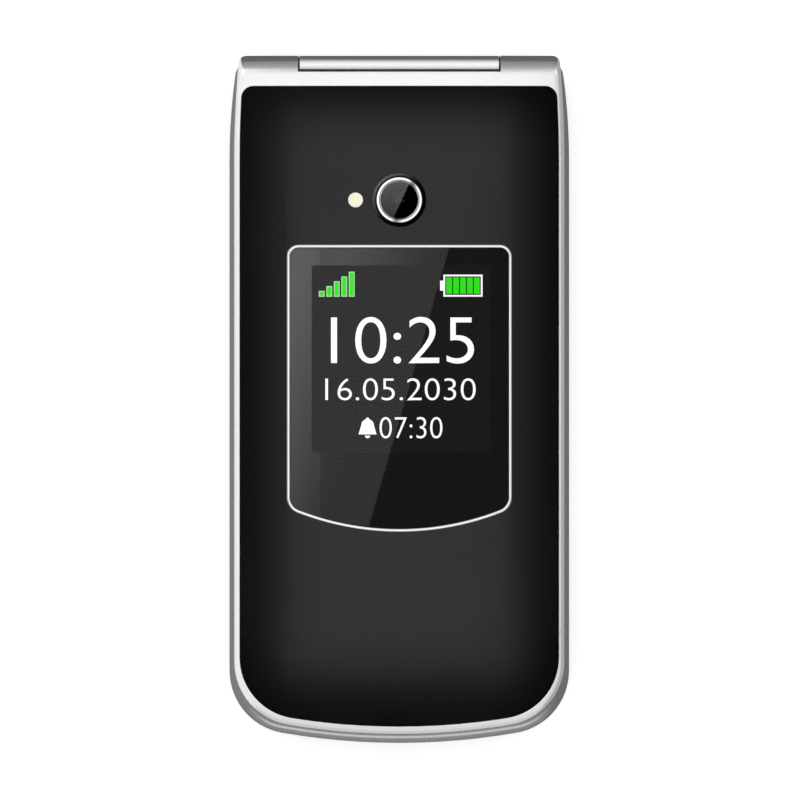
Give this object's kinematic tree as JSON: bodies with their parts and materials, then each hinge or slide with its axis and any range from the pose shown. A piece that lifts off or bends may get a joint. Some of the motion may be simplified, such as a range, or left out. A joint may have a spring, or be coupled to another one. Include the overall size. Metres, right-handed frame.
{
  "type": "flip phone",
  "caption": "Closed clamshell mobile phone with crowned black lid, outer display, camera and flash, silver edges and a barrel hinge across one end.",
  "frame": {"origin": "on the resting surface under the middle of the closed phone's box", "axes": "+Y towards the hinge end, +Z out of the lid, +X to the right seen from above the lid"},
  "size_m": [0.051, 0.1032, 0.0195],
  "materials": {
    "silver_shell": "satin silver paint",
    "gloss_black_panel": "gloss black",
    "outer_glass": "tinted, polished",
    "bright_rim": "polished edge",
    "display": "dark panel",
    "chrome_ring": "polished",
    "camera_glass": "coated, polished",
    "black_module": "matte black",
    "flash_plastic": "frosted cream",
    "led": "phosphor yellow",
    "circuit_board": "green solder mask",
    "dark_plastic": "fine satin",
    "inner_glass": "polished",
    "bumper_rubber": "matte",
    "screw_steel": "zinc plated",
    "rear_plastic": "fine satin",
    "keypad_black": "satin gloss",
    "flex_film": "amber film",
    "dome_film": "white film",
    "tinned_shield": "tinned",
    "battery_case": "wrapped",
    "gold_contacts": "gold plated",
    "key_plastic": "satin black",
    "tungsten_weight": "sintered"
  },
  "bodies": {
    "base": {"antenna": "rear_plastic", "base_screws": "screw_steel", "battery": "battery_case", "battery_contacts": "gold_contacts", "charging_socket": "tinned_shield", "dome_sheet": "dome_film", "front_housing": "silver_shell", "hinge_cartridge": "screw_steel", "hinge_flex_cable": "flex_film", "hinge_spring": "screw_steel", "keypad_plate": "keypad_black", "loudspeaker": "black_module", "main_board": "circuit_board", "microphone": "tinned_shield", "rear_housing": "rear_plastic", "shield_can": "tinned_shield", "sim_socket": "tinned_shield", "vibration_motor": "tinned_shield"},
    "lid": {"camera_module": "black_module", "camera_ring": "chrome_ring", "camera_window": "camera_glass", "earpiece": "black_module", "flash_led": "led", "flash_lens": "flash_plastic", "hinge_cam": "screw_steel", "hinge_pin": "screw_steel", "inner_display": "display", "inner_window": "inner_glass", "lid_bumpers": "bumper_rubber", "lid_circuit_board": "circuit_board", "lid_frame": "silver_shell", "lid_front_panel": "gloss_black_panel", "lid_inner_cover": "dark_plastic", "lid_screws": "screw_steel", "outer_display": "display", "outer_window": "outer_glass", "window_rim": "bright_rim"},
    "key_1": {"key_1": "key_plastic"},
    "key_2": {"key_2": "key_plastic"},
    "key_3": {"key_3": "key_plastic"},
    "key_4": {"key_4": "key_plastic"},
    "key_5": {"key_5": "key_plastic"},
    "key_6": {"key_6": "key_plastic"},
    "key_7": {"key_7": "key_plastic"},
    "key_8": {"key_8": "key_plastic"},
    "key_9": {"key_9": "key_plastic"},
    "key_star": {"key_star": "key_plastic"},
    "key_0": {"key_0": "key_plastic"},
    "key_hash": {"key_hash": "key_plastic"},
    "call_key": {"call_key": "key_plastic"},
    "end_key": {"end_key": "key_plastic"},
    "soft_key_left": {"soft_key_left": "key_plastic"},
    "soft_key_right": {"soft_key_right": "key_plastic"},
    "ok_key": {"ok_key": "key_plastic"},
    "nav_ring": {"nav_ring": "silver_shell"},
    "volume_key": {"volume_key": "silver_shell"},
    "camera_key": {"camera_key": "silver_shell"},
    "battery_cover": {"battery_cover": "rear_plastic"},
    "vibration_weight": {"vibration_weight": "tungsten_weight"}
  },
  "joints": [
    {"name": "lid_hinge", "type": "hinge", "parent": "base", "child": "lid", "pos_m": [0, 0.04925, 0.015], "axis": [-1, 0, 0], "range_deg": [0, 160]},
    {"name": "key_1_press", "type": "slide", "parent": "base", "child": "key_1", "axis": [0, 0, -1], "range_m": [0, 0.0003], "stiffness_N_per_m": 600},
    {"name": "key_2_press", "type": "slide", "parent": "base", "child": "key_2", "axis": [0, 0, -1], "range_m": [0, 0.0003], "stiffness_N_per_m": 600},
    {"name": "key_3_press", "type": "slide", "parent": "base", "child": "key_3", "axis": [0, 0, -1], "range_m": [0, 0.0003], "stiffness_N_per_m": 600},
    {"name": "key_4_press", "type": "slide", "parent": "base", "child": "key_4", "axis": [0, 0, -1], "range_m": [0, 0.0003], "stiffness_N_per_m": 600},
    {"name": "key_5_press", "type": "slide", "parent": "base", "child": "key_5", "axis": [0, 0, -1], "range_m": [0, 0.0003], "stiffness_N_per_m": 600},
    {"name": "key_6_press", "type": "slide", "parent": "base", "child": "key_6", "axis": [0, 0, -1], "range_m": [0, 0.0003], "stiffness_N_per_m": 600},
    {"name": "key_7_press", "type": "slide", "parent": "base", "child": "key_7", "axis": [0, 0, -1], "range_m": [0, 0.0003], "stiffness_N_per_m": 600},
    {"name": "key_8_press", "type": "slide", "parent": "base", "child": "key_8", "axis": [0, 0, -1], "range_m": [0, 0.0003], "stiffness_N_per_m": 600},
    {"name": "key_9_press", "type": "slide", "parent": "base", "child": "key_9", "axis": [0, 0, -1], "range_m": [0, 0.0003], "stiffness_N_per_m": 600},
    {"name": "key_star_press", "type": "slide", "parent": "base", "child": "key_star", "axis": [0, 0, -1], "range_m": [0, 0.0003], "stiffness_N_per_m": 600},
    {"name": "key_0_press", "type": "slide", "parent": "base", "child": "key_0", "axis": [0, 0, -1], "range_m": [0, 0.0003], "stiffness_N_per_m": 600},
    {"name": "key_hash_press", "type": "slide", "parent": "base", "child": "key_hash", "axis": [0, 0, -1], "range_m": [0, 0.0003], "stiffness_N_per_m": 600},
    {"name": "call_key_press", "type": "slide", "parent": "base", "child": "call_key", "axis": [0, 0, -1], "range_m": [0, 0.0003], "stiffness_N_per_m": 600},
    {"name": "end_key_press", "type": "slide", "parent": "base", "child": "end_key", "axis": [0, 0, -1], "range_m": [0, 0.0003], "stiffness_N_per_m": 600},
    {"name": "soft_key_left_press", "type": "slide", "parent": "base", "child": "soft_key_left", "axis": [0, 0, -1], "range_m": [0, 0.0003], "stiffness_N_per_m": 600},
    {"name": "soft_key_right_press", "type": "slide", "parent": "base", "child": "soft_key_right", "axis": [0, 0, -1], "range_m": [0, 0.0003], "stiffness_N_per_m": 600},
    {"name": "ok_key_press", "type": "slide", "parent": "base", "child": "ok_key", "axis": [0, 0, -1], "range_m": [0, 0.0003], "stiffness_N_per_m": 600},
    {"name": "nav_ring_rock", "type": "hinge", "parent": "base", "child": "nav_ring", "pos_m": [0, 0.024, 0.0089], "axis": [1, 0, 0], "range_deg": [-1, 1], "stiffness_Nm_per_rad": 0.04},
    {"name": "volume_key_rock", "type": "hinge", "parent": "base", "child": "volume_key", "pos_m": [-0.0246, 0.022, 0.0066], "axis": [0, 0, 1], "range_deg": [-1.2, 1.2], "stiffness_Nm_per_rad": 0.04},
    {"name": "camera_key_press", "type": "slide", "parent": "base", "child": "camera_key", "axis": [-1, 0, 0], "range_m": [0, 0.00025], "stiffness_N_per_m": 600},
    {"name": "battery_cover_slide", "type": "slide", "parent": "base", "child": "battery_cover", "axis": [0, -1, 0], "range_m": [0, 0.005]},
    {"name": "vibration_weight_spin", "type": "hinge", "parent": "base", "child": "vibration_weight", "pos_m": [0.008, -0.04395, 0.0042], "axis": [1, 0, 0], "continuous": true}
  ]
}
